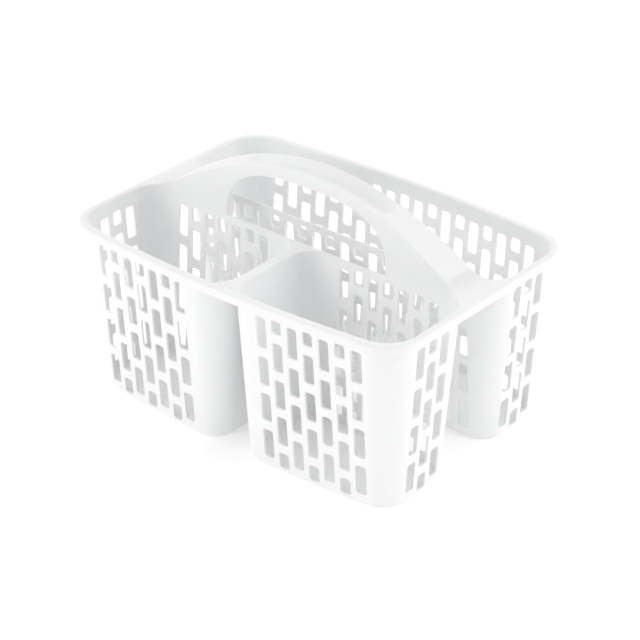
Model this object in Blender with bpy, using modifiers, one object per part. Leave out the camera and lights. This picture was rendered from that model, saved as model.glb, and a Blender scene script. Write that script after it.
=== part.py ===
"""Shower caddy: one white moulding with three slotted bins and a fixed arched handle, built as its sections.

The constants are in millimetres. X runs along the caddy, the two front bins are at -Y, and Z is up.
"""

import math

import bmesh
import bpy
from mathutils import Matrix

MM = 0.001
ASSEMBLY = "shower_caddy"
HELPERS = "cutters_and_joins"

GAP = 0.5
WALL = 1.8
FLOOR = 2.0
DRAFT = 0.068

BIN_TOP = 127.0
SEAT = BIN_TOP + GAP
RIM_TOP = 135.0
LIP_BOTTOM = 128.0
RIM_THICK = 1.7
RIM_ROUND = 2.0
RIM_HALF_LENGTH = 150.5
RIM_HALF_WIDTH = 99.4
RIM_BOW = 9.1
RIM_RADIUS = 25.8
RIM_BREAKS = [-104.0, -78.0, -52.0, -26.0, 0.0, 26.0, 52.0, 78.0, 104.0]

BASE_HALF_LENGTH = 137.7
BASE_HALF_WIDTH = 87.0
SIDE_BOW = 8.3
BOW_HALF_LENGTH = 138.0
FRONT_BIN_REAR = -20.2
REAR_BIN_FRONT = 23.7
DIVIDER_HALF_GAP = 11.3
DIVIDER_DRAFT = 0.070
RADIUS_OUTER = (18.0, 22.0)
RADIUS_DIVIDER = (14.0, 25.0)
RADIUS_JUNCTION = (15.0, 18.0)
FRONT_BREAKS = [44.0, 70.0, 96.0]
REAR_BREAKS = [-97.5, -71.5, -45.5, -19.5, 19.5, 45.5, 71.5, 97.5]
FOOT_PROFILE = [(0.0, 3.6), (0.0, 2.4), (0.7, 0.7), (2.4, 0.0)]
CORNER_STEPS = 6
EASE = 0.3

SLOT_WIDTH = 9.0
SLOT_PITCH = 13.0
SLOT_CORNER = 2.0
LONG_COLUMN = [(7.7, 31.1), (38.0, 61.5), (67.9, 91.3), (98.2, 122.6)]
SHORT_COLUMN = [(2.9, 15.9), (22.7, 46.5), (52.9, 76.4), (83.2, 106.5), (113.2, 122.6)]
FRONT_COLUMNS = 7
FRONT_COLUMNS_CENTRE = 76.5
REAR_COLUMNS = 19
END_COLUMNS = 3
FRONT_END_CENTRE = -53.6
REAR_END_CENTRE = 54.0
CUT_DEPTH = 12.0

DECK_TOP = 129.2
DECK_TIP = math.radians(24.0)

GRIP_TOP = 182.2
GRIP_DROP = 40.2
GRIP_DROP_AT = 122.5
GRIP_POWER = 1.97
GRIP_ROUND = 1.4
GRIP_PLATE = 2.0
CEILING_DIP = 0.2
LEAST_SKIRT = 4.0
HANDLE_REACH = 144.0
FRONT_ARCH = (72.8, 172.0)
REAR_ARCH = (92.0, 172.0)
ARCH_POWER = 2.85
SCOOP_DEPTH = 4.5
SCOOP_HALF_WIDTH = 9.4
SCOOP_HALF_LENGTH = 63.0
SCOOP_SHARES = [-1.0, -0.7, 0.0, 0.7, 1.0]
RETURN_DEPTH = 8.0
RETURN_TILT = math.radians(37.0)
RETURN_SHARES = [0.83, 0.88, 0.93, 0.967, 0.987, 0.9985]
STATIONS = [0.0, 14.0, 28.0, 40.0, 50.0, 58.0, 63.5, 67.5, 70.5, 72.2, 72.75, 72.8, 79.0, 84.5]
STATIONS += [88.5, 91.0, 91.95, 92.0, 98.0, 106.0, 115.0]
STATIONS += [124.3, 129.0, 133.0, 137.0, 140.5, 142.7, HANDLE_REACH]

WHITE = (0.84, 0.86, 0.87, 1.0)
ROUGHNESS = 0.38
MERGE = 0.00001


def clear_scene():
    for obj in list(bpy.data.objects):
        bpy.data.objects.remove(obj)
    for collection in list(bpy.data.collections):
        bpy.data.collections.remove(collection)


def new_collection(name):
    collection = bpy.data.collections.new(name)
    bpy.context.scene.collection.children.link(collection)
    return collection


def white_plastic(name):
    material = bpy.data.materials.new(name + "_plastic")
    material.use_nodes = True
    shader = material.node_tree.nodes["Principled BSDF"]
    shader.inputs["Base Color"].default_value = WHITE
    shader.inputs["Roughness"].default_value = ROUGHNESS
    shader.inputs["Metallic"].default_value = 0.0
    material.diffuse_color = WHITE
    return material


def add_object(name, mesh, collection):
    obj = bpy.data.objects.new(name, mesh)
    collection.objects.link(obj)
    return obj


def add_part(name, mesh, collection):
    mesh.materials.append(white_plastic(name))
    return add_object(name, mesh, collection)


def add_helper(name, mesh, collection):
    obj = add_object(name, mesh, collection)
    obj.hide_render = True
    obj.display_type = "WIRE"
    return obj


def loft(name, rings, capped=()):
    """A skin over closed sections with equal numbers of points; capped lists the ends that get a face."""
    shape = bmesh.new()
    rows = [[shape.verts.new([value * MM for value in point]) for point in ring] for ring in rings]
    for here, there in zip(rows, rows[1:]):
        for step in range(len(here)):
            after = (step + 1) % len(here)
            shape.faces.new([here[step], here[after], there[after], there[step]])
    for end in capped:
        shape.faces.new(rows[end])
    if capped:
        bmesh.ops.recalc_face_normals(shape, faces=shape.faces)
    return to_mesh(shape, name)


def flat_face(name, plan, height):
    """A filled outline that looks up."""
    shape = bmesh.new()
    shape.faces.new([shape.verts.new((x * MM, y * MM, height * MM)) for x, y in plan])
    return to_mesh(shape, name)


def to_mesh(shape, name):
    mesh = bpy.data.meshes.new(name)
    shape.to_mesh(mesh)
    shape.free()
    return mesh


def solidify(obj, thickness):
    """Gives a skin its thickness on the side away from its normals."""
    modifier = obj.modifiers.new("wall", "SOLIDIFY")
    modifier.thickness = thickness * MM
    modifier.offset = -1.0
    modifier.use_even_offset = True
    modifier.use_rim = True


def combine(obj, other, operation):
    modifier = obj.modifiers.new(other.name, "BOOLEAN")
    modifier.operation = operation
    modifier.solver = "EXACT"
    modifier.object = other


def mirror(obj):
    modifier = obj.modifiers.new("other_half", "MIRROR")
    modifier.use_axis = (True, False, False)
    modifier.use_clip = True
    modifier.merge_threshold = MERGE


def quarter_turn(centre_x, centre_y, radius, start):
    """A corner of a plan, counter-clockwise from the angle start."""
    turns = [math.radians(start + 90.0 * step / CORNER_STEPS) for step in range(CORNER_STEPS + 1)]
    return [(centre_x + radius * math.cos(turn), centre_y + radius * math.sin(turn)) for turn in turns]


def rounded_plan(box, radii, bows, half_length, breaks):
    """Counter-clockwise plan with four corner radii from low x and low y; bows swell the two long sides."""
    x0, x1, y0, y1 = box
    plan = quarter_turn(x0 + radii[0], y0 + radii[0], radii[0], 180.0)
    plan += [(x, y0) for x in breaks]
    plan += quarter_turn(x1 - radii[1], y0 + radii[1], radii[1], 270.0)
    plan += quarter_turn(x1 - radii[2], y1 - radii[2], radii[2], 0.0)
    plan += [(x, y1) for x in reversed(breaks)]
    plan += quarter_turn(x0 + radii[3], y1 - radii[3], radii[3], 90.0)
    middle = (y0 + y1) / 2.0
    half_width = (y1 - y0) / 2.0
    swollen = []
    for x, y in plan:
        bow = bows[0] if y < middle else bows[1]
        reach = (y - middle) / half_width
        swollen.append((x, y + reach * bow * (1.0 - (x / half_length) ** 2)))
    return swollen


def at_height(plan, height):
    return [(x, y, height) for x, y in plan]


def between(pair, height):
    return pair[0] + (pair[1] - pair[0]) * height / BIN_TOP


def outer_length(height):
    return BASE_HALF_LENGTH + DRAFT * height


def outer_width(height):
    return BASE_HALF_WIDTH + DRAFT * height


def rim_plan(inset):
    half_x = RIM_HALF_LENGTH - inset
    half_y = RIM_HALF_WIDTH - inset
    box = (-half_x, half_x, -half_y, half_y)
    return rounded_plan(box, [RIM_RADIUS - inset] * 4, (RIM_BOW, RIM_BOW), RIM_HALF_LENGTH, RIM_BREAKS)


def body_plan(height, inset):
    half_x = outer_length(height) - inset
    half_y = outer_width(height) - inset
    box = (-half_x, half_x, -half_y, half_y)
    return rounded_plan(box, [RADIUS_OUTER[1] - inset] * 4, (SIDE_BOW, SIDE_BOW), BOW_HALF_LENGTH, RIM_BREAKS)


def front_bin_plan(side):
    """The plan of a front bin by height and inset; side is 1 for the right bin and -1 for the left one."""

    def plan(height, inset):
        box = (
            DIVIDER_HALF_GAP - DIVIDER_DRAFT * height + inset,
            outer_length(height) - inset,
            -outer_width(height) + inset,
            front_gap(height) - inset,
        )
        end = between(RADIUS_OUTER, height) - inset
        divider = between(RADIUS_DIVIDER, height) - inset
        junction = between(RADIUS_JUNCTION, height) - inset
        radii = (divider, end, end, junction)
        right = rounded_plan(box, radii, (SIDE_BOW, 0.0), BOW_HALF_LENGTH, FRONT_BREAKS)
        if side > 0:
            return right
        return [(-x, y) for x, y in reversed(right)]

    return plan


def rear_bin_plan(height, inset):
    half_x = outer_length(height) - inset
    box = (-half_x, half_x, rear_gap(height) + inset, outer_width(height) - inset)
    radii = [between(RADIUS_OUTER, height) - inset] * 4
    return rounded_plan(box, radii, (0.0, SIDE_BOW), BOW_HALF_LENGTH, REAR_BREAKS)


def front_gap(height):
    """Y of the front side of the handle gap, which the front bins and the skirt above them share."""
    return FRONT_BIN_REAR + DRAFT * height


def rear_gap(height):
    """Y of the rear side of the handle gap, which the rear bin and the skirt above it share."""
    return REAR_BIN_FRONT - DRAFT * height


def rounded_box(shape, centre, size, along):
    """Adds a box whose four edges along one axis are cut off at 45 degrees."""
    matrix = Matrix.Translation([value * MM for value in centre])
    matrix @= Matrix.Diagonal([value * MM for value in size] + [1.0])
    corners = bmesh.ops.create_cube(shape, size=1.0, matrix=matrix)["verts"]
    edges = set()
    for edge in {edge for corner in corners for edge in corner.link_edges}:
        step = edge.verts[1].co - edge.verts[0].co
        if abs(step[along]) > 0.5 * size[along] * MM:
            edges.add(edge)
    bmesh.ops.bevel(shape, geom=list(edges), offset=SLOT_CORNER * MM, segments=1, affect="EDGES")


def slot_row(shape, centre, count, depth_at, along):
    """Slots through one wall: long and short columns take turns, starting and ending with a long one."""
    for index in range(count):
        place = centre + (index - (count - 1) / 2.0) * SLOT_PITCH
        column = SHORT_COLUMN if index % 2 else LONG_COLUMN
        for low, high in column:
            middle = (low + high) / 2.0
            if along == 1:
                position = (place, depth_at(place), middle)
                size = (SLOT_WIDTH, CUT_DEPTH, high - low)
            else:
                position = (depth_at(place), place, middle)
                size = (CUT_DEPTH, SLOT_WIDTH, high - low)
            rounded_box(shape, position, size, along)


def mid_wall(face, inwards):
    """Depth of the middle of a wall at half height, from a function of height for its outer face."""
    return face(BIN_TOP / 2.0) + inwards * WALL / 2.0


def long_side(x):
    return mid_wall(outer_width, -1.0) + SIDE_BOW * (1.0 - (x / BOW_HALF_LENGTH) ** 2)


def front_bin_slots(side):
    shape = bmesh.new()
    centre = side * FRONT_COLUMNS_CENTRE
    end_wall = side * mid_wall(outer_length, -1.0)
    slot_row(shape, centre, FRONT_COLUMNS, lambda x: -long_side(x), 1)
    slot_row(shape, centre, FRONT_COLUMNS, lambda x: mid_wall(front_gap, -1.0), 1)
    slot_row(shape, FRONT_END_CENTRE, END_COLUMNS, lambda y: end_wall, 0)
    return shape


def rear_bin_slots():
    shape = bmesh.new()
    end_wall = mid_wall(outer_length, -1.0)
    slot_row(shape, 0.0, REAR_COLUMNS, long_side, 1)
    slot_row(shape, 0.0, REAR_COLUMNS, lambda x: mid_wall(rear_gap, 1.0), 1)
    slot_row(shape, REAR_END_CENTRE, END_COLUMNS, lambda y: end_wall, 0)
    slot_row(shape, REAR_END_CENTRE, END_COLUMNS, lambda y: -end_wall, 0)
    return shape


def pierce(obj, openings, helpers):
    cutter = add_helper(obj.name + "_openings", to_mesh(openings, obj.name + "_openings"), helpers)
    combine(obj, cutter, "DIFFERENCE")


def build_bin(name, plan, slots, assembly, helpers):
    """Drafted walls that turn in at the foot, and a flat floor inside it. The lowest slots let water out."""
    rings = [at_height(plan(height, inset), height) for height, inset in FOOT_PROFILE + [(BIN_TOP, 0.0)]]
    walls = add_part(name + "_bin", loft(name + "_bin", rings), assembly)
    solidify(walls, WALL)
    pierce(walls, slots, helpers)
    edge = plan(0.0, FOOT_PROFILE[0][1] + GAP)
    base = add_part(name + "_floor", flat_face(name + "_floor", edge, FLOOR), assembly)
    solidify(base, FLOOR)


def build_rim(assembly):
    """Continues the outer walls upwards, turns outwards over the top and hangs down as a lip."""
    shoulder = RIM_TOP - RIM_ROUND
    ease = RIM_ROUND * EASE
    rings = [
        at_height(rim_plan(0.0), LIP_BOTTOM),
        at_height(rim_plan(0.0), shoulder),
        at_height(rim_plan(ease), RIM_TOP - ease),
        at_height(rim_plan(RIM_ROUND), RIM_TOP),
        at_height(body_plan(RIM_TOP, WALL - RIM_ROUND), RIM_TOP),
        at_height(body_plan(RIM_TOP, WALL - ease), RIM_TOP - ease),
        at_height(body_plan(shoulder, WALL), shoulder),
        at_height(body_plan(SEAT, WALL), SEAT),
    ]
    rim = add_part("top_rim", loft("top_rim", rings), assembly)
    solidify(rim, RIM_THICK)


def deck_edge():
    """Right edge of the strip between the front bins, from the front rim to the handle gap."""
    inner = DIVIDER_HALF_GAP - DIVIDER_DRAFT * BIN_TOP + WALL
    rim_face = -outer_width(SEAT) - SIDE_BOW + WALL + GAP
    mouth = -outer_width(BIN_TOP) - SIDE_BOW + WALL
    rear_wall = front_gap(BIN_TOP)
    radius_front = RADIUS_DIVIDER[1] - WALL
    radius_rear = RADIUS_JUNCTION[1] - WALL
    edge = []
    for step in range(CORNER_STEPS + 1):
        turn = DECK_TIP + (math.pi / 2.0 - DECK_TIP) * step / CORNER_STEPS
        x = inner + radius_front * (1.0 - math.sin(turn))
        edge.append((x, mouth + radius_front * (1.0 - math.cos(turn))))
    for step in range(CORNER_STEPS + 1):
        turn = math.pi / 2.0 * (1.0 - step / CORNER_STEPS)
        x = inner + radius_rear * (1.0 - math.sin(turn))
        edge.append((x, rear_wall - WALL - radius_rear * (1.0 - math.cos(turn))))
    return [(edge[0][0], rim_face)] + edge + [(edge[-1][0], rear_wall)]


def build_deck(assembly):
    right = deck_edge()
    left = [(-x, y) for x, y in reversed(right)]
    deck = add_part("divider_deck", flat_face("divider_deck", right + left, DECK_TOP), assembly)
    solidify(deck, DECK_TOP - SEAT)


def grip_height(x):
    drop = GRIP_DROP * (x / GRIP_DROP_AT) ** GRIP_POWER
    return max(RIM_TOP, GRIP_TOP - drop)


def arch_height(x, arch):
    """Lower edge of a skirt: the bins' top edge at the legs and a flattened arch over the hand opening."""
    half_length, crown = arch
    if x >= half_length:
        return SEAT
    rise = (1.0 - (x / half_length) ** ARCH_POWER) ** (1.0 / ARCH_POWER)
    return SEAT + (crown - SEAT) * rise


def leg_flare(x, radius):
    """How far a leg follows a bin's corner round where it meets the end of the caddy."""
    start = outer_length(BIN_TOP) - RADIUS_OUTER[1]
    past = min(max(x - start, 0.0), radius)
    return radius - math.sqrt(radius * radius - past * past)


def scoop_depth(x):
    along = min(x / SCOOP_HALF_LENGTH, 1.0)
    return SCOOP_DEPTH * math.sqrt(1.0 - along**4)


def handle_section(x):
    """A slice of the channel-shaped handle: front skirt, scooped grip, rear skirt, then back inside."""
    top = grip_height(x)
    ceiling = top - GRIP_PLATE
    depth = scoop_depth(x)
    corner = ceiling - depth * CEILING_DIP
    low_front = min(arch_height(x, FRONT_ARCH), top - LEAST_SKIRT)
    low_rear = min(arch_height(x, REAR_ARCH), top - LEAST_SKIRT)
    flare_outside = leg_flare(x, RADIUS_OUTER[1] - WALL)
    flare_inside = leg_flare(x, RADIUS_OUTER[1])
    middle = (FRONT_BIN_REAR + REAR_BIN_FRONT) / 2.0
    ease = GRIP_ROUND * EASE

    def outside(height):
        return front_gap(height) - WALL - flare_outside, rear_gap(height) + WALL + flare_outside

    def inside(height):
        return front_gap(height) - flare_inside, rear_gap(height) + flare_inside

    front, rear = outside(top)
    shoulder = top - GRIP_ROUND
    bowl = [(middle + share * SCOOP_HALF_WIDTH, 1.0 - share * share) for share in SCOOP_SHARES]
    section = [(outside(low_front)[0], low_front), (outside(shoulder)[0], shoulder)]
    section += [(front + ease, top - ease), (front + GRIP_ROUND, top)]
    section += [(y, top - depth * bend) for y, bend in bowl]
    section += [(rear - GRIP_ROUND, top), (rear - ease, top - ease)]
    section += [(outside(shoulder)[1], shoulder), (outside(low_rear)[1], low_rear)]
    section += [(inside(low_rear)[1], low_rear), (inside(ceiling)[1], max(corner, low_rear + GAP))]
    section += [(y, ceiling - depth * bend) for y, bend in reversed(bowl[1:-1])]
    section += [(inside(ceiling)[0], max(corner, low_front + GAP)), (inside(low_front)[0], low_front)]
    return [(x, y, z) for y, z in section]


def arch_return(name, arch, gap_side, inwards):
    """A short flange inside the channel that stiffens one springing of an arch."""
    half_length = arch[0]
    edge = [(half_length * share, arch_height(half_length * share, arch)) for share in RETURN_SHARES]
    edge.append((half_length, SEAT))
    back = [(half_length + WALL, SEAT)]
    shift_x = WALL * math.cos(RETURN_TILT)
    shift_z = WALL * math.sin(RETURN_TILT)
    back += [(x + shift_x, z + shift_z) for x, z in reversed(edge[:-1])]
    rings = []
    for depth in (WALL / 2.0, RETURN_DEPTH):
        rings.append([(x, gap_side(z) + inwards * (depth - WALL), z) for x, z in edge + back])
    return loft(name, rings, capped=(0, -1))


def build_handle(assembly, helpers):
    rings = [handle_section(x) for x in STATIONS]
    handle = add_part("carry_handle", loft("carry_handle", rings, capped=(-1,)), assembly)
    mirror(handle)
    front = ("front_arch_return", FRONT_ARCH, front_gap, 1.0)
    rear = ("rear_arch_return", REAR_ARCH, rear_gap, -1.0)
    for name, arch, gap_side, inwards in (front, rear):
        flange = add_helper(name, arch_return(name, arch, gap_side, inwards), helpers)
        mirror(flange)
        combine(handle, flange, "UNION")


def main():
    clear_scene()
    assembly = new_collection(ASSEMBLY)
    helpers = new_collection(HELPERS)
    for side, name in ((-1, "front_left"), (1, "front_right")):
        build_bin(name, front_bin_plan(side), front_bin_slots(side), assembly, helpers)
    build_bin("rear", rear_bin_plan, rear_bin_slots(), assembly, helpers)
    build_rim(assembly)
    build_deck(assembly)
    build_handle(assembly, helpers)


main()
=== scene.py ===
"""Looks for the shower caddy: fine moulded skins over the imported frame, white plastic and a pale studio.

Lengths are in millimetres until a skin is made. Each skin is one visible piece: its points carry the true
normals of the surface, so flat walls stay flat and the small rounds on every edge catch the light.
"""

import math

import bpy
from mathutils import Matrix, Vector, geometry


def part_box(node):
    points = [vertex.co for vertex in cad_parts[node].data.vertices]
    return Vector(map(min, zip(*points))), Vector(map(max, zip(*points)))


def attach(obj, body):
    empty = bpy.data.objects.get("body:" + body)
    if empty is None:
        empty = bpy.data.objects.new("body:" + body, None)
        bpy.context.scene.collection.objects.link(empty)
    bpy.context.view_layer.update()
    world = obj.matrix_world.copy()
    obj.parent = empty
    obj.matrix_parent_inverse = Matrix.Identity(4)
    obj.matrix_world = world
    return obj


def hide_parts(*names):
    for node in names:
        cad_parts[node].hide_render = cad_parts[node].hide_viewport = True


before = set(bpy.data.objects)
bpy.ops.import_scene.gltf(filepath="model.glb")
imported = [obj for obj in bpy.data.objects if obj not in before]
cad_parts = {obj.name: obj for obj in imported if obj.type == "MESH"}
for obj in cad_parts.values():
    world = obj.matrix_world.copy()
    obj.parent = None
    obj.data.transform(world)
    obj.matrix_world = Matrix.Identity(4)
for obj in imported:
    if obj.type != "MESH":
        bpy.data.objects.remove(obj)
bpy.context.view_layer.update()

FILL_INSIDE = 1
SHEET_TOLERANCE = 0.00001

MM = 0.001
STEP = 0.02  # the short step on a surface that its normal is worked out from
SHARE_STEP = 0.001  # the same for a share of a corner
KEYS_PER_STEP = 10  # points nearer than a tenth of the step are one point
NEAR = 1e-6


def box_mm(node):
    low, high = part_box(node)
    return [value / MM for value in low], [value / MM for value in high]


RIM_LOW, RIM_HIGH = box_mm("top_rim")
REAR_LOW, REAR_HIGH = box_mm("rear_bin")
FRONT_LOW, FRONT_HIGH = box_mm("front_right_bin")
_, HANDLE_HIGH = box_mm("carry_handle")

WALL = 1.8
FLOOR = 2.0
DRAFT = 0.068
BIN_TOP = REAR_HIGH[2]
SEAT = RIM_LOW[2]
RIM_TOP = RIM_HIGH[2]
GRIP_TOP = HANDLE_HIGH[2]
DECK_TOP = 129.0
BASE_HALF_LENGTH = REAR_HIGH[0] - DRAFT * BIN_TOP
SIDE_BOW = 8.3
BOW_HALF_LENGTH = 138.0
BASE_HALF_WIDTH = REAR_HIGH[1] - SIDE_BOW - DRAFT * BIN_TOP
FRONT_GAP = FRONT_HIGH[1] - DRAFT * BIN_TOP
REAR_GAP = REAR_LOW[1] + DRAFT * BIN_TOP
DIVIDER_DRAFT = 0.070
DIVIDER_HALF_GAP = FRONT_LOW[0] + DIVIDER_DRAFT * BIN_TOP
RADIUS_OUTER = (18.0, 22.0)
RADIUS_DIVIDER = (14.0, 25.0)
RADIUS_JUNCTION = (15.0, 18.0)

FOOT_ROUND = 2.4
FOOT_RIM = 3.6
FILLET = 0.4
LEVELS = [FOOT_ROUND, 14.0, 28.0, 42.0, 56.0, 70.0, 84.0, 98.0, 112.0, SEAT]
CORNER_STEPS = 20
PANEL_STEP = 6.5

SLOT_WIDTH = 8.6
SLOT_PITCH = 13.0
SLOT_CORNER = 2.2
SLOT_EDGE = 0.2
LONG_COLUMN = [(7.9, 30.9), (38.2, 61.3), (68.1, 91.1), (98.4, 123.2)]
SHORT_COLUMN = [(3.1, 15.7), (22.9, 46.3), (53.1, 76.2), (83.4, 106.3), (113.4, 124.4)]
FRONT_COLUMNS = 7
FRONT_COLUMNS_CENTRE = 76.5
REAR_COLUMNS = 19
END_COLUMNS = 3
FRONT_END_CENTRE = -53.6
REAR_END_CENTRE = 54.0

# the part of each panel between the corner patches
FRONT_PANEL_START = 29.5
FRONT_PANEL_END = 121.5
DECK_END = 20.4  # where the deck ends and the kerb starts on a front bin's rear panel
FRONT_END_SPAN = (-72.5, -34.5)
DIVIDER_SPAN = (-62.0, -40.0)
REAR_LONG_SPAN = (-122.0, 122.0)
REAR_END_SPAN = (36.0, 72.5)

RIM_BOW = 9.1
RIM_RADIUS = 25.8
RIM_WALL = 1.7
LIP_BOTTOM = 128.0
RIM_ROUND = 2.0
INNER_ROUND = 1.4
LIP_ROUND = 0.6
LONG_SIDE_STEPS = 40
SLANT = 0.7  # each share of a normal that leans halfway in an inside corner

KERB_ROUND = 0.85
GRIP_DROP = 40.2
GRIP_DROP_AT = 122.5
GRIP_POWER = 1.97
GRIP_RUNOUT = 5.0
GRIP_ROUND = 1.4
GRIP_PLATE = 2.0
ARCH_CROWN = 172.0
ARCH_POWER = 2.85
FRONT_ARCH_HALF = 72.8
REAR_ARCH_HALF = 92.0
ARCH_EDGE = 0.5
SCOOP_DEPTH = 6.5
SCOOP_HALF_WIDTH = 9.4
SCOOP_HALF_LENGTH = 66.0
SCOOP_FULL = 38.0
SCOOP_STRAIGHT = 57.0
SCOOP_STEPS = 24
FALL_POWER = 4
LEAST_WIDTH = 0.001
RETURN_DEPTH = 8.0
RETURN_TOP = 150.0
RETURN_FADE = 14.0
CEILING_EDGE = 1.0  # how far under the ceiling the skirts' inner faces end
CEILING_STEPS = 16
FLARE_BLEND = 112.0
FLARE_STEPS = 18
FLARE_LEVELS = 4
ARCH_STEPS = 44
GRIP_STEP = 3.0
SCOOP_STEP = 0.8
ROUND_STEPS = 5

# steps along the grip and across the scoop that slopes are worked out from
SLOPE_STEP = 0.1
SHARE_SLOPE_STEP = 0.02

# how far the normals lean on the back of the return flange and on the ceiling
HIDDEN_LEAN = 0.1
CEILING_LEAN = 0.2


# ---------------------------------------------------------------- skins


class Skin:
    """Collects shared points with their surface normals and the faces between them, then makes one mesh."""

    def __init__(self, name):
        self.name = name
        self.points = []
        self.normals = []
        self.faces = []
        self.index = {}

    def point(self, place, normal):
        key = tuple(round(value / STEP * KEYS_PER_STEP) for value in place)
        if key not in self.index:
            self.index[key] = len(self.points)
            self.points.append(Vector(place) * MM)
            self.normals.append(Vector(normal).normalized())
        return self.index[key]

    def face(self, corners):
        loop = [corner for at, corner in enumerate(corners) if corner != corners[at - 1]]
        if len(loop) < 3 or len(set(loop)) < len(loop):
            return
        middle = sum((self.points[corner] for corner in loop), Vector()) / len(loop)
        turn = Vector()
        for at, corner in enumerate(loop):
            turn += (self.points[loop[at - 1]] - middle).cross(self.points[corner] - middle)
        aim = sum((self.normals[corner] for corner in loop), Vector())
        self.faces.append(loop if turn.dot(aim) > 0.0 else loop[::-1])

    def flat(self, places, normal):
        """One flat face turned to a direction, on the points that are already there."""
        loop = []
        for place in places:
            corner = self.point(place, normal)
            if corner not in loop:
                loop.append(corner)
        if len(loop) < 3:
            return
        first, second, third = (self.points[corner] for corner in loop[:3])
        turned = (second - first).cross(third - second).dot(Vector(normal)) > 0.0
        self.faces.append(loop if turned else loop[::-1])

    def strip(self, rows, closed=False):
        """Quads between neighbouring rows of point numbers."""
        for here, there in zip(rows, rows[1:]):
            count = len(here)
            for at in range(count if closed else count - 1):
                after = (at + 1) % count
                self.face([here[at], here[after], there[after], there[at]])

    def build(self, nodes, material):
        mesh = bpy.data.meshes.new(self.name)
        mesh.from_pydata(self.points, [], self.faces)
        mesh.polygons.foreach_set("use_smooth", [True] * len(mesh.polygons))
        mesh.normals_split_custom_set_from_vertices(self.normals)
        mesh.materials.append(material)
        piece = bpy.data.objects.new(self.name, mesh)
        bpy.context.scene.collection.objects.link(piece)
        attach(piece, "root")
        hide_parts(*nodes)
        return piece


def quarter(start=0.0, end=90.0, steps=ROUND_STEPS):
    """Sine and cosine of the steps of a round."""
    turns = [math.radians(start + (end - start) * step / steps) for step in range(steps + 1)]
    return [(math.sin(turn), math.cos(turn)) for turn in turns]


def spread(low, high, step):
    count = max(1, math.ceil((high - low) / step - NEAR))
    return [low + (high - low) * at / count for at in range(count + 1)]


# ---------------------------------------------------------------- shared sizes


def outer_length(height):
    return BASE_HALF_LENGTH + DRAFT * height


def outer_width(height):
    return BASE_HALF_WIDTH + DRAFT * height


def front_gap(height):
    return FRONT_GAP + DRAFT * height


def rear_gap(height):
    return REAR_GAP - DRAFT * height


def between(pair, height):
    return pair[0] + (pair[1] - pair[0]) * height / BIN_TOP


# ---------------------------------------------------------------- bins


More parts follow.
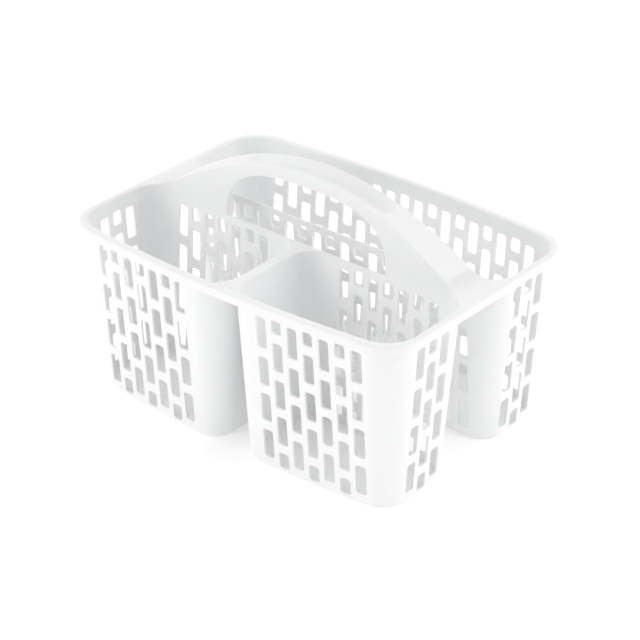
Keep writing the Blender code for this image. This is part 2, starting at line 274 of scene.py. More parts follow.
class Bin:
    """A drafted four-sided wall with rounded corners. Panels 0 to 3 are front, right, rear and left.

    spans holds the part of each panel that lies between the corner patches, in x or in y.
    """

    def __init__(self, box, radii, bows, spans):
        self.box = box
        self.radii = radii
        self.bows = bows
        self.spans = spans

    def bowed(self, x, y, height, inset):
        _, _, y0, y1 = self.box(height)
        middle = (y0 + y1) / 2.0
        half_width = (y1 - y0) / 2.0 - inset
        bow = self.bows[0] if y < middle else self.bows[1]
        reach = (y - middle) / half_width
        return x, y + reach * bow * (1.0 - (x / BOW_HALF_LENGTH) ** 2), height

    def corner_frame(self, corner, height, inset):
        """Centre and radius of the corner after a panel, and the two directions of travel round it."""
        x0, x1, y0, y1 = self.box(height)
        radius = self.radii(height)[(corner + 1) % 4]
        signs = [(1, -1), (1, 1), (-1, 1), (-1, -1)][corner]
        centre_x = (x1 if signs[0] > 0 else x0) - signs[0] * radius
        centre_y = (y1 if signs[1] > 0 else y0) - signs[1] * radius
        ahead = [(1, 0), (0, 1), (-1, 0), (0, -1)]
        return (centre_x, centre_y), radius - inset, ahead[corner], ahead[(corner + 1) % 4]

    def panel_point(self, panel, u, height, inset):
        """A point of a panel at x or y equal to u, following the corner rounds where they reach into it."""
        x0, x1, y0, y1 = self.box(height)
        face = (y0 + inset, x1 - inset, y1 - inset, x0 + inset)[panel]
        inwards = (1, -1, -1, 1)[panel]
        axis = panel % 2
        for corner in (panel, (panel + 3) % 4):
            centre, radius, _, _ = self.corner_frame(corner, height, inset)
            middle = (x0 + x1, y0 + y1)[axis] / 2.0
            past = (u - centre[axis]) * (1 if centre[axis] > middle else -1)
            if past > 0.0:
                face += inwards * (radius - math.sqrt(max(radius * radius - past * past, 0.0)))
        return self.bowed(u, face, height, inset) if axis == 0 else self.bowed(face, u, height, inset)

    def corner_point(self, corner, share, height, inset):
        """A point of the patch round a corner; share runs from one panel (0) to the next (1)."""
        centre, radius, ahead, onward = self.corner_frame(corner, height, inset)
        outward = (-onward[0], -onward[1])
        leave = self.spans[corner][1 if sum(ahead) > 0 else 0]
        join = self.spans[(corner + 1) % 4][0 if sum(onward) > 0 else 1]
        before = (leave - centre[corner % 2]) * sum(ahead)
        after = (join - centre[(corner + 1) % 2]) * sum(onward)
        straight = max(0.0, -before)
        start = math.asin(max(0.0, before) / radius)
        end = math.pi / 2.0 - math.asin(max(0.0, -after) / radius)
        arc = radius * (end - start)
        gone = share * (straight + arc + max(0.0, after))
        turn = start + min(max(gone - straight, 0.0), arc) / radius
        slide = -max(0.0, straight - gone)
        slip = max(0.0, gone - straight - arc)
        x = centre[0] + radius * (outward[0] * math.cos(turn) + ahead[0] * math.sin(turn))
        y = centre[1] + radius * (outward[1] * math.cos(turn) + ahead[1] * math.sin(turn))
        x += ahead[0] * slide + onward[0] * slip
        y += ahead[1] * slide + onward[1] * slip
        return self.bowed(x, y, height, inset)

    def loop(self, panel_places):
        """Places round the bin, counter-clockwise: (is a corner, number, u or share)."""
        places = []
        for panel in range(4):
            row = panel_places[panel]
            row = row if panel < 2 else row[::-1]
            places += [(False, panel, u) for u in row]
            places += [(True, panel, step / CORNER_STEPS) for step in range(1, CORNER_STEPS)]
        return places

    def place(self, where, height, inset):
        corner, number, u = where
        if corner:
            return self.corner_point(number, u, height, inset)
        return self.panel_point(number, u, height, inset)

    def plan_normal(self, where, height, inset):
        """The outward normal at a place, in the round of the corner as well as on the panels."""
        corner, number, u = where
        flip = not corner and number > 1
        step = SHARE_STEP if corner else STEP

        def at(along, level):
            clamped = min(max(along, 0.0), 1.0) if corner else along
            return self.place((corner, number, clamped), level, inset)

        across = Vector(at(u + step, height)) - Vector(at(u - step, height))
        upward = Vector(at(u, height + STEP)) - Vector(at(u, height - STEP))
        normal = across.cross(upward).normalized()
        return -normal if flip else normal


def rounded_slot(low_u, high_u, low_z, high_z):
    """Counter-clockwise outline of a slot, each point with its direction away from the slot's middle."""
    corners = [
        (high_u, low_z, 1, -1, -90),
        (high_u, high_z, 1, 1, 0),
        (low_u, high_z, -1, 1, 90),
        (low_u, low_z, -1, -1, 180),
    ]
    outline = []
    for u, z, side, up, start in corners:
        for step in range(ROUND_STEPS + 1):
            turn = math.radians(start + 90.0 * step / ROUND_STEPS)
            away = (math.cos(turn), math.sin(turn))
            centre = (u - side * SLOT_CORNER, z - up * SLOT_CORNER)
            spot = (centre[0] + SLOT_CORNER * away[0], centre[1] + SLOT_CORNER * away[1])
            outline.append((spot, away))
    return outline


def slot_outlines(centre, count):
    """The slots of a panel: columns at one pitch, long and short ones by turns."""
    outlines = []
    for index in range(count):
        u = centre + (index - (count - 1) / 2.0) * SLOT_PITCH
        for low, high in SHORT_COLUMN if index % 2 else LONG_COLUMN:
            outlines.append(rounded_slot(u - SLOT_WIDTH / 2.0, u + SLOT_WIDTH / 2.0, low, high))
    return outlines


def holed_sheet(outline, holes):
    """Triangles that fill an outline except for its holes. Returns the flat points and the triangles."""
    points = [Vector(spot) for spot in outline]
    edges = [(at, (at + 1) % len(outline)) for at in range(len(outline))]
    cut = []
    for hole in holes:
        start = len(points)
        points += [Vector(spot) for spot in hole]
        cut.append(list(range(start, len(points))))
    rim = list(range(len(outline)))
    sheet = geometry.delaunay_2d_cdt(points, edges, [rim] + cut, FILL_INSIDE, SHEET_TOLERANCE, True)
    flat, _, faces, _, _, origins = sheet
    kept = [face for face, origin in zip(faces, origins) if list(origin) == [0]]
    return [tuple(spot) for spot in flat], kept


def widened(spot, away, out):
    return (spot[0] + away[0] * out, spot[1] + away[1] * out)


def wall_panel(skin, walls, panel, places, holes):
    """A slotted panel: outer and inner sheets, and rounded edges through every slot."""
    low, high = places[0], places[-1]
    outline = [(u, LEVELS[0]) for u in places] + [(high, z) for z in LEVELS[1:-1]]
    outline += [(u, LEVELS[-1]) for u in reversed(places)] + [(low, z) for z in reversed(LEVELS[1:-1])]
    lips = [[widened(spot, away, SLOT_EDGE) for spot, away in hole] for hole in holes]
    flat, triangles = holed_sheet(outline, lips)

    def number(u, z, depth, lean=None):
        normal = walls.plan_normal((False, panel, u), z, depth)
        if lean:
            normal = lean(normal)
        elif depth > WALL / 2.0:
            normal = -normal
        return skin.point(walls.panel_point(panel, u, z, depth), normal)

    for depth in (0.0, WALL):
        numbers = [number(u, z, depth) for u, z in flat]
        for triangle in triangles:
            skin.face([numbers[corner] for corner in triangle])
    sideways = Vector((1, 0, 0)) if panel % 2 == 0 else Vector((0, 1, 0))
    for hole in holes:
        rows = []
        for sheet in (0, 1):
            for sine, cosine in quarter() if sheet == 0 else quarter(90.0, 0.0):
                out = SLOT_EDGE * (1.0 - sine)
                sunk = SLOT_EDGE * (1.0 - cosine)
                depth = sunk if sheet == 0 else WALL - sunk
                row = []
                for spot, away in hole:
                    towards = -(sideways * away[0] + Vector((0, 0, 1)) * away[1])
                    side = 1.0 if sheet == 0 else -1.0
                    lean = lambda face: face * (side * cosine) + towards * sine
                    u, z = widened(spot, away, out)
                    row.append(number(u, z, depth, lean))
                rows.append(row)
        skin.strip(rows, closed=True)


def loop_rows(skin, walls, places, profile):
    """Rows round a bin; profile lists (height, inset, share of the wall's normal, share of up)."""
    rows = []
    for height, inset, outwards, upwards in profile:
        row = []
        for where in places:
            normal = walls.plan_normal(where, max(height, FOOT_ROUND), inset)
            normal = normal * outwards + Vector((0, 0, upwards))
            row.append(skin.point(walls.place(where, height, inset), normal))
        rows.append(row)
    skin.strip(rows, closed=True)


def kerb(skin, walls, panel, low, high, places):
    """The rounded top edge of a bin's inner wall, between two points along it."""
    spots = [u for u in places if low - NEAR <= u <= high + NEAR]
    profile = [(SEAT, 0.0, 1.0, 0.0)]
    for sine, cosine in quarter():
        profile.append((DECK_TOP - KERB_ROUND * (1.0 - sine), KERB_ROUND * (1.0 - cosine), cosine, sine))
    for sine, cosine in quarter(90.0, 0.0):
        height = DECK_TOP - KERB_ROUND * (1.0 - sine)
        profile.append((height, WALL - KERB_ROUND * (1.0 - cosine), -cosine, sine))
    profile.append((SEAT, WALL, -1.0, 0.0))
    rows = []
    for height, inset, outwards, upwards in profile:
        row = []
        for u in spots:
            normal = walls.plan_normal((False, panel, u), height, inset)
            normal = normal * outwards + Vector((0, 0, upwards))
            row.append(skin.point(walls.panel_point(panel, u, height, inset), normal))
        rows.append(row)
    skin.strip(rows)


def cap_top(skin, walls, places, kerb_panel, kerb_span):
    """Closes the top of the walls under the rim, the deck and the handle, and leaves the kerb open."""
    for at, here in enumerate(places):
        there = places[(at + 1) % len(places)]
        inside = [
            not corner and panel == kerb_panel and kerb_span[0] - NEAR <= u <= kerb_span[1] + NEAR
            for corner, panel, u in (here, there)
        ]
        if all(inside):
            continue
        spots = [(here, 0.0), (there, 0.0), (there, WALL), (here, WALL)]
        skin.flat([walls.place(where, SEAT, depth) for where, depth in spots], (0, 0, 1))


def bin_skin(name, walls, slots, kerb_panel, kerb_span):
    skin = Skin(name + "_walls")
    panel_places = []
    for panel in range(4):
        low, high = walls.spans[panel]
        marks = sorted([low, high] + (list(kerb_span) if panel == kerb_panel else []))
        places = [low]
        for here, there in zip(marks, marks[1:]):
            places += spread(here, there, PANEL_STEP)[1:]
        panel_places.append(places)
        wall_panel(skin, walls, panel, places, slots[panel])
    places = walls.loop(panel_places)
    for corner in range(4):
        shares = [step / CORNER_STEPS for step in range(CORNER_STEPS + 1)]
        for depth in (0.0, WALL):
            rows = []
            for level in LEVELS:
                row = []
                for share in shares:
                    normal = walls.plan_normal((True, corner, share), level, depth)
                    normal = -normal if depth else normal
                    row.append(skin.point(walls.corner_point(corner, share, level, depth), normal))
                rows.append(row)
            skin.strip(rows)
    foot = [(0.0, FOOT_RIM, 0.0, -1.0)]
    for sine, cosine in quarter():
        foot.append((FOOT_ROUND * (1.0 - cosine), FOOT_ROUND * (1.0 - sine), sine, -cosine))
    loop_rows(skin, walls, places, foot)
    inner = [(FLOOR, FOOT_RIM, 0.0, 1.0)]
    for sine, cosine in quarter():
        inner.append((FLOOR + FILLET * (1.0 - cosine), WALL + FILLET * (1.0 - sine), -sine, cosine))
    loop_rows(skin, walls, places, inner)
    kerb(skin, walls, kerb_panel, kerb_span[0], kerb_span[1], panel_places[kerb_panel])
    cap_top(skin, walls, places, kerb_panel, kerb_span)
    return skin, places


def floor_skin(name, walls, places):
    """The underside and the top of a plain floor; its edge is hidden in the foot."""
    skin = Skin(name + "_floor_plate")
    edge = [walls.place(where, 0.0, FOOT_RIM) for where in places]
    flat, triangles = holed_sheet([(x, y) for x, y, _ in edge], [])
    for height, up in ((0.0, -1.0), (FLOOR, 1.0)):
        numbers = [skin.point((x, y, height), (0, 0, up)) for x, y in flat]
        for triangle in triangles:
            skin.face([numbers[corner] for corner in triangle])
    return skin


def front_walls(side):
    """The walls of a front bin; side is 1 for the right bin and -1 for the left one."""

    def box(height):
        low = DIVIDER_HALF_GAP - DIVIDER_DRAFT * height
        high = outer_length(height)
        ends = (low, high) if side > 0 else (-high, -low)
        return ends + (-outer_width(height), front_gap(height))

    def radii(height):
        outer = between(RADIUS_OUTER, height)
        divider = between(RADIUS_DIVIDER, height)
        junction = between(RADIUS_JUNCTION, height)
        return (divider, outer, outer, junction) if side > 0 else (outer, divider, junction, outer)

    front = (FRONT_PANEL_START, FRONT_PANEL_END)
    rear = (DECK_END, FRONT_PANEL_END)
    if side > 0:
        spans = [front, FRONT_END_SPAN, rear, DIVIDER_SPAN]
    else:
        spans = [(-front[1], -front[0]), DIVIDER_SPAN, (-rear[1], -rear[0]), FRONT_END_SPAN]
    return Bin(box, radii, (SIDE_BOW, 0.0), spans)


def rear_walls():
    def box(height):
        high = outer_length(height)
        return (-high, high, rear_gap(height), outer_width(height))

    def radii(height):
        return (between(RADIUS_OUTER, height),) * 4

    spans = [REAR_LONG_SPAN, REAR_END_SPAN, REAR_LONG_SPAN, REAR_END_SPAN]
    return Bin(box, radii, (0.0, SIDE_BOW), spans)


# ---------------------------------------------------------------- rim


def rounded_loop(box, radius, bow, half_length):
    """Counter-clockwise outline with round corners and swollen long sides, and its outward normals."""
    half_x, half_y = box
    spots = []
    corners = [(1, -1, -90), (1, 1, 0), (-1, 1, 90), (-1, -1, 180)]
    for side, up, start in corners:
        for step in range(CORNER_STEPS + 1):
            turn = math.radians(start + 90.0 * step / CORNER_STEPS)
            x = side * (half_x - radius) + radius * math.cos(turn)
            y = up * (half_y - radius) + radius * math.sin(turn)
            spots.append((x, y))
        before_long_side = side == up
        if before_long_side:
            span = spread(-1.0, 1.0, 2.0 / LONG_SIDE_STEPS)[1:-1]
            reach = half_x - radius
            spots += [(-side * share * reach, up * half_y) for share in span]
    loop = [(x, y + (y / half_y) * bow * (1.0 - (x / half_length) ** 2)) for x, y in spots]
    normals = []
    for at in range(len(loop)):
        after = loop[(at + 1) % len(loop)]
        before = loop[at - 1]
        normals.append(Vector((after[1] - before[1], before[0] - after[0], 0.0)).normalized())
    return loop, normals


def rim_loop(inset):
    box = (RIM_HIGH[0] - inset, RIM_HIGH[1] - RIM_BOW - inset)
    return rounded_loop(box, RIM_RADIUS - inset, RIM_BOW, RIM_HIGH[0])


def body_loop(height, inset):
    box = (outer_length(height) - inset, outer_width(height) - inset)
    return rounded_loop(box, RADIUS_OUTER[1] - inset, SIDE_BOW, BOW_HALF_LENGTH)


def rim_skin():
    """Up the inside of the walls, over the rounded top, down the lip and back up under it."""
    skin = Skin("rolled_rim")
    under = RIM_TOP - RIM_WALL
    rows = [(body_loop(SEAT, WALL), SEAT, -1.0, 0.0)]
    for sine, cosine in quarter():
        height = RIM_TOP - INNER_ROUND * (1.0 - sine)
        rows.append((body_loop(height, WALL - INNER_ROUND * (1.0 - cosine)), height, -cosine, sine))
    for sine, cosine in quarter(90.0, 0.0):
        height = RIM_TOP - RIM_ROUND * (1.0 - sine)
        rows.append((rim_loop(RIM_ROUND * (1.0 - cosine)), height, cosine, sine))
    for sine, cosine in quarter():
        height = LIP_BOTTOM + LIP_ROUND * (1.0 - sine)
        rows.append((rim_loop(LIP_ROUND * (1.0 - cosine)), height, cosine, -sine))
    for sine, cosine in quarter(90.0, 0.0):
        height = LIP_BOTTOM + LIP_ROUND * (1.0 - sine)
        rows.append((rim_loop(RIM_WALL - LIP_ROUND * (1.0 - cosine)), height, -cosine, -sine))
    rows.append((rim_loop(RIM_WALL), under, -SLANT, -SLANT))
    rows.append((body_loop(under, 0.0), under, SLANT, -SLANT))
    rows.append((body_loop(SEAT, 0.0), SEAT, 1.0, 0.0))
    numbers = []
    for (loop, normals), height, outwards, upwards in rows:
        row = []
        for (x, y), normal in zip(loop, normals):
            row.append(skin.point((x, y, height), normal * outwards + Vector((0, 0, upwards))))
        numbers.append(row)
    skin.strip(numbers, closed=True)
    return skin


# ---------------------------------------------------------------- deck


def deck_edge(walls, inset):
    """The deck's right edge from rim to handle, along the inside of the right bin, and its normals."""
    places = [(True, 3, step / CORNER_STEPS) for step in range(CORNER_STEPS, -1, -1)]
    places += [(False, 3, u) for u in spread(walls.spans[3][0], walls.spans[3][1], PANEL_STEP)[1:-1]]
    places += [(True, 2, step / CORNER_STEPS) for step in range(CORNER_STEPS, -1, -1)]
    edge = []
    for where in places:
        x, y, _ = walls.place(where, SEAT, WALL)
        away = -walls.plan_normal(where, SEAT, WALL)
        flat = Vector((away.x, away.y)).normalized()
        edge.append(((x - inset * flat.x, y - inset * flat.y), (flat.x, flat.y)))
    return edge


def deck_skin(walls):
    """Two rounded edges over the front bins' walls, the flat top and underside, and the rear edge."""
    skin = Skin("divider_bridge")
    rows = []
    profile = [(SEAT, 0.0, 1.0, 0.0)]
    for sine, cosine in quarter():
        profile.append((DECK_TOP - KERB_ROUND * (1.0 - sine), KERB_ROUND * (1.0 - cosine), cosine, sine))
    for height, inset, outwards, upwards in profile:
        row = []
        for (x, y), away in deck_edge(walls, inset):
            row.append(((x, y, height), (away[0] * outwards, away[1] * outwards, upwards)))
        rows.append(row)
    for side in (1, -1):
        numbers = []
        for row in rows:
            line = []
            for (x, y, z), (nx, ny, nz) in row:
                line.append(skin.point((side * x, y, z), (side * nx, ny, nz)))
            numbers.append(line)
        skin.strip(numbers)
    front = -outer_width(DECK_TOP) - SIDE_BOW + WALL / 2.0
    gap = front_gap(DECK_TOP)
    back = []
    for sine, cosine in quarter():
        back.append((DECK_TOP - KERB_ROUND * (1.0 - sine), gap - KERB_ROUND * (1.0 - cosine), cosine, sine))
    half = [(x, y) for (x, y, _), _ in rows[-1]]
    half = [(half[0][0], front)] + half + [(half[-1][0], back[-1][1])]
    stations = half + [(-x, y) for x, y in reversed(half)]
    numbers = [skin.point((x, y, DECK_TOP), (0, 0, 1)) for x, y in stations]
    skin.face(numbers)
    under = [skin.point((x, y, SEAT), (0, 0, -1)) for x, y in stations]
    skin.face(under)
    rows = []
    for z, y, ny, nz in [(SEAT, gap, 1.0, 0.0)] + back:
        rows.append([skin.point((side * half[-1][0], y, z), (0, ny, nz)) for side in (-1, 1)])
    skin.strip(rows)
    return skin


# ---------------------------------------------------------------- handle


def grip_height(x):
    """The arch of the grip, which runs out softly into the flat of the rim."""
    above = GRIP_TOP - GRIP_DROP * (abs(x) / GRIP_DROP_AT) ** GRIP_POWER - RIM_TOP
    if above > GRIP_RUNOUT:
        return RIM_TOP + above
    return RIM_TOP + max(0.0, above + GRIP_RUNOUT) ** 2 / (4.0 * GRIP_RUNOUT)


def arch_outline(half_length):
    """The arch from its right springing over the crown to the left: (x, z), normal into the opening."""
    spots = []
    rise = ARCH_CROWN - SEAT
    share = 2.0 / ARCH_POWER
    for step in range(ARCH_STEPS + 1):
        turn = math.pi * step / ARCH_STEPS
        cosine = math.cos(turn)
        sine = math.sin(turn)
        x = half_length * math.copysign(abs(cosine) ** share, cosine)
        z = SEAT + rise * sine**share
        nx = -math.copysign(abs(cosine) ** (2.0 - share), cosine) / half_length
        nz = -(sine ** (2.0 - share)) / rise
        size = math.hypot(nx, nz)
        spots.append(((x, z), (nx / size, nz / size)))
    return spots


FLARE_RADIUS = RADIUS_OUTER[1] - WALL
FLARE_START = outer_length(SEAT) - RADIUS_OUTER[1]
FLARE_END = FLARE_START + FLARE_RADIUS * math.pi / 2.0


class Skirt:
    """One drafted side of the handle; s is x on the straight, then runs round the flare at each leg."""

    def __init__(self, side):
        self.side = side

    def face(self, height):
        if self.side < 0:
            return front_gap(height) - WALL
        return rear_gap(height) + WALL

    def point(self, s, height, depth):
        away = abs(s)
        shift = outer_length(height) - RADIUS_OUTER[1] - FLARE_START
        if away <= FLARE_START:
            ease = max(0.0, (away - FLARE_BLEND) / (FLARE_START - FLARE_BLEND))
            x = away + shift * ease
            y = self.face(height) - self.side * depth
        else:
            turn = (away - FLARE_START) / FLARE_RADIUS
            radius = FLARE_RADIUS + depth
            x = FLARE_START + shift + radius * math.sin(turn)
            y = self.face(height) + self.side * (FLARE_RADIUS - radius * math.cos(turn))
        return (math.copysign(x, s), y, height)

    def normal(self, s, height):
        """Outward normal of the visible face."""
        away = abs(s)
        turn = max(0.0, (away - FLARE_START) / FLARE_RADIUS)
        flat = Vector((-math.copysign(math.sin(turn), s), self.side * math.cos(turn), 0.0))
        return (flat + Vector((0, 0, DRAFT))).normalized()


def top_at(s):
    """Height of the grip's top above a place along the skirts."""
    turn = max(0.0, (abs(s) - FLARE_START) / FLARE_RADIUS)
    x = abs(s) if turn == 0.0 else FLARE_START + FLARE_RADIUS * math.sin(turn)
    return grip_height(x)


def handle_stations():
    """Places along the grip, close together where the scoop runs out."""
    scoop_end = SCOOP_HALF_LENGTH + 1.0
    half = spread(0.0, SCOOP_FULL, GRIP_STEP)
    half += spread(SCOOP_FULL, scoop_end, SCOOP_STEP)[1:]
    half += spread(scoop_end, FLARE_START, GRIP_STEP)[1:]
    half += spread(FLARE_START, FLARE_END, (FLARE_END - FLARE_START) / FLARE_STEPS)[1:]
    return [-s for s in reversed(half[1:])] + half


def scoop(s, share):
    """Depth of the round-ended finger scoop; share is -1 at its front lip and 1 at its rear lip."""
    away = abs(s)
    if away >= SCOOP_HALF_LENGTH:
        return 0.0
    fall = max(0.0, (away - SCOOP_FULL) / (SCOOP_HALF_LENGTH - SCOOP_FULL))
    end = max(0.0, (away - SCOOP_STRAIGHT) / (SCOOP_HALF_LENGTH - SCOOP_STRAIGHT))
    width = math.sqrt(1.0 - end * end)
    across = share / max(width, LEAST_WIDTH)
    return SCOOP_DEPTH * (1.0 - fall**FALL_POWER) * max(0.0, 1.0 - across * across)


def grip_slope(s):
    """How steeply the grip's top climbs along the straight."""
    if abs(s) >= FLARE_START:
        return 0.0
    return (top_at(s + SLOPE_STEP) - top_at(s - SLOPE_STEP)) / (2.0 * SLOPE_STEP)


def grip_edge(skirt, s, slope):
    """The rounded edge from a skirt's face up to the top, as places and normals."""
    lift = Vector((-slope, 0.0, 1.0)).normalized()
    edge = []
    for sine, cosine in quarter():
        height = top_at(s) - GRIP_ROUND * (1.0 - sine)
        face = skirt.normal(s, height)
        edge.append((skirt.point(s, height, GRIP_ROUND * (1.0 - cosine)), face * cosine + lift * sine))
    return edge


def scoop_normal(s, share, slope):
    across = scoop(s, share + SHARE_SLOPE_STEP) - scoop(s, share - SHARE_SLOPE_STEP)
    along = scoop(s + SLOPE_STEP, share) - scoop(s - SLOPE_STEP, share)
    bend = across / (2.0 * SHARE_SLOPE_STEP * SCOOP_HALF_WIDTH)
    return Vector((along / (2.0 * SLOPE_STEP) - slope, bend, 1.0))


def handle_top(skin, front, rear, stations):
    """The rounded edges and the scooped top between the two skirts."""
    middle = (front.face(GRIP_TOP) + rear.face(GRIP_TOP)) / 2.0
    rows = []
    for s in stations:
        slope = grip_slope(s)
        front_edge = grip_edge(front, s, slope)
        rear_edge = grip_edge(rear, s, slope)
        x, front_y, _ = front_edge[-1][0]
        rear_y = rear_edge[-1][0][1]
        row = front_edge
        for share in spread(-1.0, 1.0, 2.0 / SCOOP_STEPS):
            if abs(s) < SCOOP_HALF_LENGTH:
                y = middle + share * SCOOP_HALF_WIDTH
                normal = scoop_normal(s, share, slope)
            else:
                y = front_y + (rear_y - front_y) * (share + 1.0) / 2.0
                normal = Vector((-slope, 0.0, 1.0))
            row.append(((x, y, top_at(s) - scoop(s, share)), normal))
        row += reversed(rear_edge)
        rows.append([skin.point(spot, normal) for spot, normal in row])
    skin.strip(rows)


def return_reach(height):
    """How far in the arch's edge reaches: a deep return flange at the springing that fades upwards."""
    share = min(max((RETURN_TOP - height) / RETURN_FADE, 0.0), 1.0)
    return WALL + (RETURN_DEPTH - WALL) * share


def handle_side(skin, skirt, half_length, stations):
    """One skirt with its arch: visible face, inner face, and the rounded edge with its return flange."""
    arch = arch_outline(half_length)
    straight = [s for s in stations if abs(s) <= FLARE_START + NEAR]
    for depth, drop in ((0.0, GRIP_ROUND), (WALL, GRIP_PLATE + CEILING_EDGE)):
        sign = 1.0 if depth == 0.0 else -1.0
        edge = [(x - nx * ARCH_EDGE, z - nz * ARCH_EDGE) for (x, z), (nx, nz) in arch]
        edge = [(edge[0][0], SEAT)] + edge[1:-1] + [(edge[-1][0], SEAT)]
        top = [(s, top_at(s) - drop) for s in straight]
        outline = edge + [(straight[0], SEAT)] + top + [(straight[-1], SEAT)]
        flat, triangles = holed_sheet(outline[::-1], [])
        numbers = [skin.point(skirt.point(s, z, depth), skirt.normal(s, z) * sign) for s, z in flat]
        for triangle in triangles:
            skin.face([numbers[corner] for corner in triangle])
        for side in (-1, 1):
            flared = sorted({s for s in stations if s * side >= FLARE_START - NEAR})
            rows = []
            for level in range(FLARE_LEVELS + 1):
                row = []
                for s in flared:
                    high = top_at(s) - drop
                    z = SEAT + (high - SEAT) * level / FLARE_LEVELS
                    row.append(skin.point(skirt.point(s, z, depth), skirt.normal(s, z) * sign))
                rows.append(row)
            skin.strip(rows)
    rows = []
    outward = Vector((0, skirt.side, 0))
    for part in (0, 1):
        for sine, cosine in quarter() if part == 0 else quarter(90.0, 0.0):
            row = []
            for (x, z), (nx, nz) in arch:
                out = ARCH_EDGE * (1.0 - sine)
                sunk = ARCH_EDGE * (1.0 - cosine)
                depth = sunk if part == 0 else return_reach(z) - sunk
                side = cosine if part == 0 else -cosine
                height = max(z - nz * out, SEAT)
                normal = outward * side + Vector((nx, 0, nz)) * sine
                row.append(skin.point(skirt.point(x - nx * out, height, depth), normal))
            rows.append(row)
    skin.strip(rows)


def return_backs(skin, skirt, half_length):
    """The hidden side of the return flange at each springing."""
    arch = [spot for spot in arch_outline(half_length) if spot[0][1] < RETURN_TOP]
    for side in (-1, 1):
        rows = []
        for (x, z), (nx, nz) in arch:
            if x * side <= 0:
                continue
            reach = return_reach(z)
            near = skirt.point(x - nx * ARCH_EDGE, max(z - nz * ARCH_EDGE, SEAT), reach)
            row = [skin.point(near, (0, -skirt.side, 0))]
            for depth in (reach, WALL):
                far = skirt.point(x - nx * WALL, max(z - nz * WALL, SEAT), depth)
                row.append(skin.point(far, (side, 0, HIDDEN_LEAN)))
            rows.append(row)
        skin.strip(rows)


def handle_ceiling(skin, front, rear, stations):
    """The underside of the grip between the two skirts."""
    rows = []
    for s in stations:
        top = top_at(s) - GRIP_PLATE
        start = Vector(front.point(s, top - CEILING_EDGE, WALL))
        end = Vector(rear.point(s, top - CEILING_EDGE, WALL))
        row = [(start, (0, 1, 0))]
        for step in range(1, CEILING_STEPS):
            share = -1.0 + 2.0 * step / CEILING_STEPS
            y = start.y + (end.y - start.y) * step / CEILING_STEPS
            row.append(((start.x, y, top - scoop(s, share)), (0, share * CEILING_LEAN, -1)))
        row.append((end, (0, -1, 0)))
        rows.append([skin.point(spot, normal) for spot, normal in row])
    skin.strip(rows)


def handle_skin():
    skin = Skin("arched_handle")
    front = Skirt(-1)
    rear = Skirt(1)
    stations = handle_stations()
    handle_top(skin, front, rear, stations)
    handle_side(skin, front, FRONT_ARCH_HALF, stations)
    handle_side(skin, rear, REAR_ARCH_HALF, stations)
    return_backs(skin, front, FRONT_ARCH_HALF)
    return_backs(skin, rear, REAR_ARCH_HALF)
    handle_ceiling(skin, front, rear, stations)
    return skin


# ---------------------------------------------------------------- material


def white_plastic():
    """Satin white polypropylene: faint flow in its colour, fine grain and a soft sheen of uneven gloss."""
    material = bpy.data.materials.new("satin_white_polypropylene")
    material.use_nodes = True
    nodes = material.node_tree.nodes
    links = material.node_tree.links
    shader = nodes["Principled BSDF"]
    shader.inputs["IOR"].default_value = 1.49
    shader.inputs["Specular IOR Level"].default_value = 0.45
    shader.inputs["Metallic"].default_value = 0.0
    place = nodes.new("ShaderNodeTexCoord")

    flow = nodes.new("ShaderNodeTexNoise")
    flow.inputs["Scale"].default_value = 9.0
    flow.inputs["Detail"].default_value = 3.0
    tint = nodes.new("ShaderNodeValToRGB")
    tint.color_ramp.elements[0].position = 0.3
    tint.color_ramp.elements[0].color = (0.935, 0.94, 0.945, 1.0)
    tint.color_ramp.elements[1].position = 0.7
    tint.color_ramp.elements[1].color = (0.957, 0.961, 0.965, 1.0)
    links.new(place.outputs["Object"], flow.inputs["Vector"])
    links.new(flow.outputs["Fac"], tint.inputs["Fac"])
    links.new(tint.outputs["Color"], shader.inputs["Base Color"])

    gloss = nodes.new("ShaderNodeTexNoise")
    gloss.inputs["Scale"].default_value = 60.0
    gloss.inputs["Detail"].default_value = 4.0
    satin = nodes.new("ShaderNodeMapRange")
    satin.inputs["To Min"].default_value = 0.36
    satin.inputs["To Max"].default_value = 0.5
    links.new(place.outputs["Object"], gloss.inputs["Vector"])
    links.new(gloss.outputs["Fac"], satin.inputs["Value"])
    links.new(satin.outputs["Result"], shader.inputs["Roughness"])

    grain = nodes.new("ShaderNodeTexNoise")
    grain.inputs["Scale"].default_value = 1400.0
    grain.inputs["Detail"].default_value = 2.0
    bump = nodes.new("ShaderNodeBump")
    bump.inputs["Strength"].default_value = 0.06
    bump.inputs["Distance"].default_value = 0.0002
    links.new(place.outputs["Object"], grain.inputs["Vector"])
    links.new(grain.outputs["Fac"], bump.inputs["Height"])
    links.new(bump.outputs["Normal"], shader.inputs["Normal"])
    return material


# ---------------------------------------------------------------- assembly


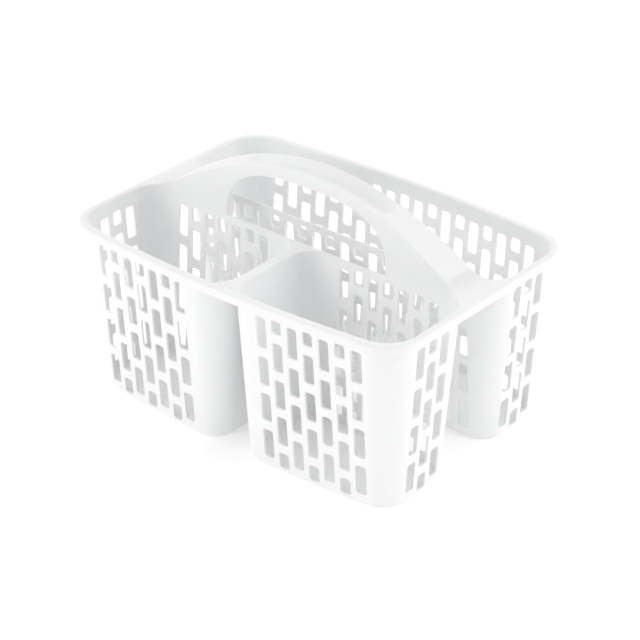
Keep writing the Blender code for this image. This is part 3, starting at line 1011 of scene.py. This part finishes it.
def build_pieces():
    plastic = white_plastic()
    for side, name in ((-1, "front_left"), (1, "front_right")):
        walls = front_walls(side)
        long_holes = slot_outlines(side * FRONT_COLUMNS_CENTRE, FRONT_COLUMNS)
        end_holes = slot_outlines(FRONT_END_CENTRE, END_COLUMNS)
        slots = [long_holes, [], long_holes, []]
        slots[1 if side > 0 else 3] = end_holes
        span = sorted((side * DECK_END, side * (FRONT_ARCH_HALF + ARCH_EDGE)))
        skin, places = bin_skin(name, walls, slots, 2, span)
        skin.build([name + "_bin"], plastic)
        floor_skin(name, walls, places).build([name + "_floor"], plastic)
    walls = rear_walls()
    long_holes = slot_outlines(0.0, REAR_COLUMNS)
    end_holes = slot_outlines(REAR_END_CENTRE, END_COLUMNS)
    slots = [long_holes, end_holes, long_holes, end_holes]
    half = REAR_ARCH_HALF + ARCH_EDGE
    skin, places = bin_skin("rear", walls, slots, 0, (-half, half))
    skin.build(["rear_bin"], plastic)
    floor_skin("rear", walls, places).build(["rear_floor"], plastic)
    rim_skin().build(["top_rim"], plastic)
    deck_skin(front_walls(1)).build(["divider_deck"], plastic)
    handle_skin().build(["carry_handle"], plastic)


# ---------------------------------------------------------------- studio

# directions in which the sky is greyer, each with its strength there and its strength all round
SKY_DIPS = [((0.64, -0.77, 0.15), 0.4, 1.0), ((0.0, 0.0, 1.0), 0.88, 1.0)]
DIP_STARTS = 0.25

# places and sizes in metres, power in watts, the lens and its sensor in millimetres
FLOOR_REACH = 6.0
FLOOR_DROP = 0.0006
LIGHT_TARGET = (0.0, 0.0, 0.08)
LIGHT_SIZE = 0.8
LIGHTS = [("soft_left", (-0.6, -1.8, 0.85), 6.0), ("soft_right", (1.5, 0.5, 0.9), 5.0)]
CAMERA_PLACE = (0.8915, -1.0563, 0.8476)
CAMERA_AZIMUTH = math.radians(40.05)
CAMERA_ELEVATION = math.radians(29.6)
CAMERA_ROLL = math.radians(-0.13)
CAMERA_LENS = 123.87
SENSOR_WIDTH = 36.0


def area_light(name, place, power):
    light = bpy.data.lights.new(name, "AREA")
    light.shape = "DISK"
    light.size = LIGHT_SIZE
    light.energy = power
    lamp = bpy.data.objects.new(name, light)
    bpy.context.scene.collection.objects.link(lamp)
    lamp.location = place
    lamp.rotation_euler = (Vector(LIGHT_TARGET) - Vector(place)).to_track_quat("-Z", "Y").to_euler()


def studio_world():
    """White all round, a little greyer overhead and clearly greyer behind the camera."""
    world = bpy.data.worlds.new("pale_studio")
    world.use_nodes = True
    nodes = world.node_tree.nodes
    links = world.node_tree.links
    place = nodes.new("ShaderNodeTexCoord")
    nodes["Background"].inputs["Color"].default_value = (1.0, 1.0, 1.0, 1.0)
    shade = nodes["Background"].inputs["Strength"]
    total = None
    for direction, low, high in SKY_DIPS:
        along = nodes.new("ShaderNodeVectorMath")
        along.operation = "DOT_PRODUCT"
        along.inputs[1].default_value = Vector(direction).normalized()
        dip = nodes.new("ShaderNodeMapRange")
        dip.interpolation_type = "SMOOTHSTEP"
        dip.inputs["From Min"].default_value = DIP_STARTS
        dip.inputs["From Max"].default_value = 1.0
        dip.inputs["To Min"].default_value = high
        dip.inputs["To Max"].default_value = low
        links.new(place.outputs["Generated"], along.inputs[0])
        links.new(along.outputs["Value"], dip.inputs["Value"])
        if total is None:
            total = dip.outputs["Result"]
        else:
            both = nodes.new("ShaderNodeMath")
            both.operation = "MULTIPLY"
            links.new(total, both.inputs[0])
            links.new(dip.outputs["Result"], both.inputs[1])
            total = both.outputs["Value"]
    links.new(total, shade)
    return world


def build_studio():
    floor_mesh = bpy.data.meshes.new("studio_floor")
    corners = [(x * FLOOR_REACH, y * FLOOR_REACH, 0.0) for x, y in ((-1, -1), (1, -1), (1, 1), (-1, 1))]
    floor_mesh.from_pydata(corners, [], [(0, 1, 2, 3)])
    floor = bpy.data.objects.new("studio_floor", floor_mesh)
    floor.location = (0.0, 0.0, -FLOOR_DROP)
    bpy.context.scene.collection.objects.link(floor)
    paper = bpy.data.materials.new("pale_paper")
    paper.use_nodes = True
    shader = paper.node_tree.nodes["Principled BSDF"]
    shader.inputs["Base Color"].default_value = (0.95, 0.95, 0.95, 1.0)
    shader.inputs["Roughness"].default_value = 0.9
    shader.inputs["Emission Color"].default_value = (1.0, 1.0, 1.0, 1.0)
    shader.inputs["Emission Strength"].default_value = 0.22
    floor_mesh.materials.append(paper)

    bpy.context.scene.world = studio_world()
    bpy.context.scene.view_settings.view_transform = "Standard"

    for name, place, power in LIGHTS:
        area_light(name, place, power)


def build_camera():
    camera_data = bpy.data.cameras.new("photo_view")
    camera_data.sensor_width = SENSOR_WIDTH
    camera_data.lens = CAMERA_LENS
    camera_data.clip_end = 20.0
    camera = bpy.data.objects.new("photo_view", camera_data)
    bpy.context.scene.collection.objects.link(camera)
    camera.location = CAMERA_PLACE
    camera.rotation_mode = "XYZ"
    level = math.cos(CAMERA_ELEVATION)
    away = Vector((
        math.sin(CAMERA_AZIMUTH) * level,
        -math.cos(CAMERA_AZIMUTH) * level,
        math.sin(CAMERA_ELEVATION),
    ))
    rotation = away.to_track_quat("Z", "Y").to_matrix()
    roll = Matrix.Rotation(CAMERA_ROLL, 3, Vector((0, 0, 1)))
    camera.rotation_euler = (rotation @ roll).to_euler()
    bpy.context.scene.camera = camera


build_camera()
build_pieces()
build_studio()

bpy.context.view_layer.update()
